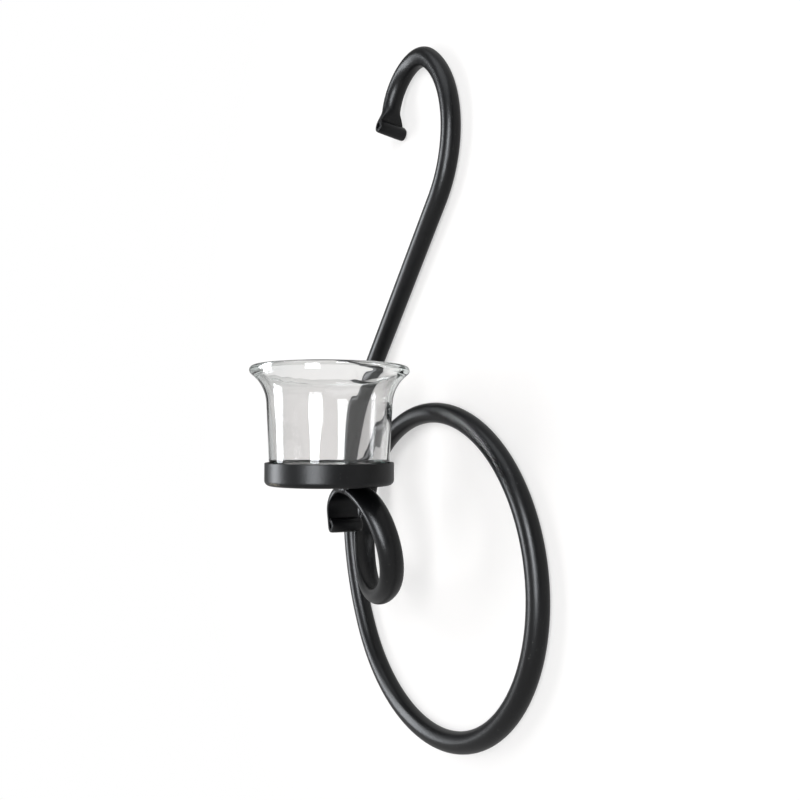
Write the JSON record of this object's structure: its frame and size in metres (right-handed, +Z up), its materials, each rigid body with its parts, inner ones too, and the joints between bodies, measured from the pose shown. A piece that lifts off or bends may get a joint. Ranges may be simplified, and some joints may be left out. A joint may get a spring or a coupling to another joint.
{
  "type": "wall sconce candle holder",
  "caption": "Wall-hung candle holder bent from one black tube with a ring and a scroll, carrying a shallow welded pan and a loose flared clear glass cup.",
  "frame": {"origin": "where the crook bears on its hanging point, at the wall plane", "axes": "+Z up, +Y into the wall, +X to the right for someone facing the wall"},
  "size_m": [0.1674, 0.091, 0.3371],
  "materials": {
    "black_paint": "satin",
    "painted_weld": "satin",
    "clear_glass": "polished"
  },
  "bodies": {
    "frame": {"crook_leaf": "black_paint", "crook_nose": "black_paint", "crook_back": "black_paint", "shoulder_tube": "black_paint", "stem_tube": "black_paint", "sweep_tube": "black_paint", "ring_tube": "black_paint", "arm_tube": "black_paint", "arm_strap": "black_paint", "candle_pan": "black_paint", "front_weld_bead": "painted_weld", "rear_weld_bead": "painted_weld"},
    "glass": {"glass_cup": "clear_glass"}
  },
  "joints": [
    {"name": "glass_lift", "type": "slide", "parent": "frame", "child": "glass", "axis": [0, 0, 1], "range_m": [0, 0.06]}
  ]
}
